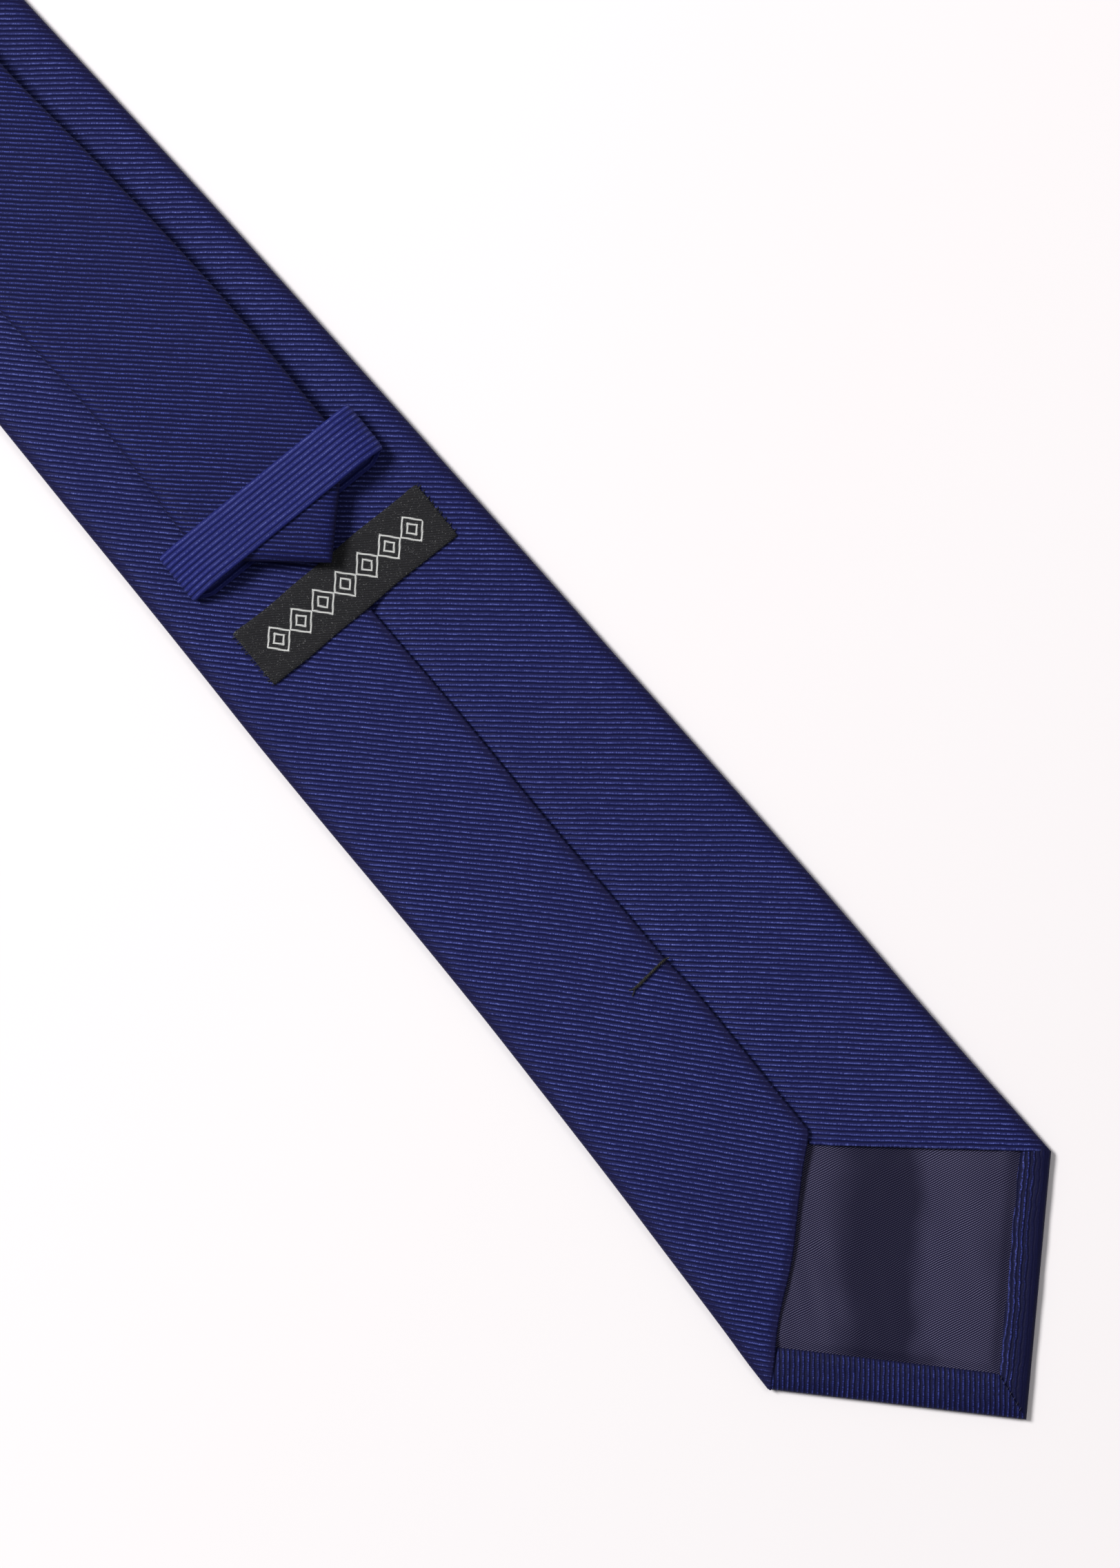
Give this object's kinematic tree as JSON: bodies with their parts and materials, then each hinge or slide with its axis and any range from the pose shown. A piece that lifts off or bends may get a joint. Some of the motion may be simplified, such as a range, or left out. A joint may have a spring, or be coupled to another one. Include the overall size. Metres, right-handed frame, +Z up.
{
  "type": "necktie",
  "caption": "Ribbed navy necktie folded once at the neck, back side up, with its narrow tail passed through the keeper loop behind the wide blade.",
  "frame": {"origin": "centre of the folded tie's footprint, on the surface it lies on", "axes": "+X along the tie towards the wide tip, +Y across it, +Z up from the surface, towards the tie's back side"},
  "size_m": [0.848, 0.076, 0.0099],
  "materials": {
    "navy_rib": "ribbed silk-like repp cloth with a soft sheen",
    "keeper_rib": "the same ribbed cloth, brighter, ribs along the loop",
    "lining": "fine dark blue-grey twill lining with a soft sheen",
    "wool": "matt brushed wool interlining",
    "label_weave": "matt black woven label",
    "black_thread": "twisted black thread",
    "navy_thread": "twisted navy thread"
  },
  "bodies": {
    "blade": {"front_shell": "navy_rib", "front_interlining": "wool", "front_tipping": "lining", "front_slip_stitch": "navy_thread", "front_bar_tack": "black_thread", "front_mitre_stitch": "navy_thread", "neck_shell_lower": "navy_rib", "keeper_tack": "navy_thread", "label": "label_weave", "label_stitch_left": "black_thread", "label_stitch_right": "black_thread"},
    "mouth_left": {"front_flap_left": "navy_rib"},
    "mouth_right": {"front_flap_right": "navy_rib"},
    "keeper": {"keeper_loop": "keeper_rib"},
    "neck_bend": {"neck_shell_fold": "navy_rib", "neck_interlining_fold": "wool"},
    "neck_strip": {"neck_shell_upper": "navy_rib", "neck_interlining_upper": "wool", "neck_slip_stitch": "navy_thread", "tail_shell_rear": "navy_rib"},
    "tail_rise": {"tail_shell_upper": "navy_rib", "tail_interlining_upper": "wool", "tail_slip_stitch_upper": "navy_thread"},
    "tail_fall": {"tail_shell_middle": "navy_rib", "tail_interlining_middle": "wool", "tail_slip_stitch_middle": "navy_thread"},
    "tail_end": {"tail_shell_tip": "navy_rib", "tail_interlining_tip": "wool", "tail_tipping": "lining", "tail_bar_tack": "black_thread"}
  },
  "joints": [
    {"name": "neck_unfold", "type": "hinge", "parent": "blade", "child": "neck_bend", "pos_m": [-0.422, 0, 0.002], "axis": [0, -1, 0], "range_deg": [0, 90], "deforming": ["keeper_loop"]},
    {"name": "neck_unfold_top", "type": "hinge", "parent": "neck_bend", "child": "neck_strip", "pos_m": [-0.422, 0, 0.0071], "axis": [0, -1, 0], "range_deg": [0, 90]},
    {"name": "tail_arch", "type": "hinge", "parent": "neck_strip", "child": "tail_rise", "pos_m": [-0.216, 0, 0.0071], "axis": [0, 1, 0], "range_deg": [-20, 0]},
    {"name": "tail_arch_crest", "type": "hinge", "parent": "tail_rise", "child": "tail_fall", "pos_m": [-0.038, 0, 0.0071], "axis": [0, 1, 0], "range_deg": [0, 40]},
    {"name": "tail_arch_foot", "type": "hinge", "parent": "tail_fall", "child": "tail_end", "pos_m": [0.139, 0, 0.0071], "axis": [0, 1, 0], "range_deg": [-20, 0]},
    {"name": "keeper_swivel", "type": "hinge", "parent": "blade", "child": "keeper", "pos_m": [0.18, 0.001, 0.00455], "axis": [0, 0, 1], "range_deg": [-12, 12]},
    {"name": "mouth_open_left", "type": "hinge", "parent": "blade", "child": "mouth_left", "pos_m": [0.3835, -0.036, 0.00375], "axis": [0.8988, -0.4384, 0], "range_deg": [0, 35]},
    {"name": "mouth_open_right", "type": "hinge", "parent": "blade", "child": "mouth_right", "pos_m": [0.3835, 0.0364, 0.00295], "axis": [-0.9131, -0.4077, 0], "range_deg": [0, 30]}
  ],
  "couplings": [
    {"joint": "neck_unfold_top", "follows": "neck_unfold", "ratio": 1},
    {"joint": "tail_arch_crest", "follows": "tail_arch", "ratio": -2},
    {"joint": "tail_arch_foot", "follows": "tail_arch", "ratio": 1},
    {"joint": "mouth_open_right", "follows": "mouth_open_left", "ratio": 0.85}
  ]
}
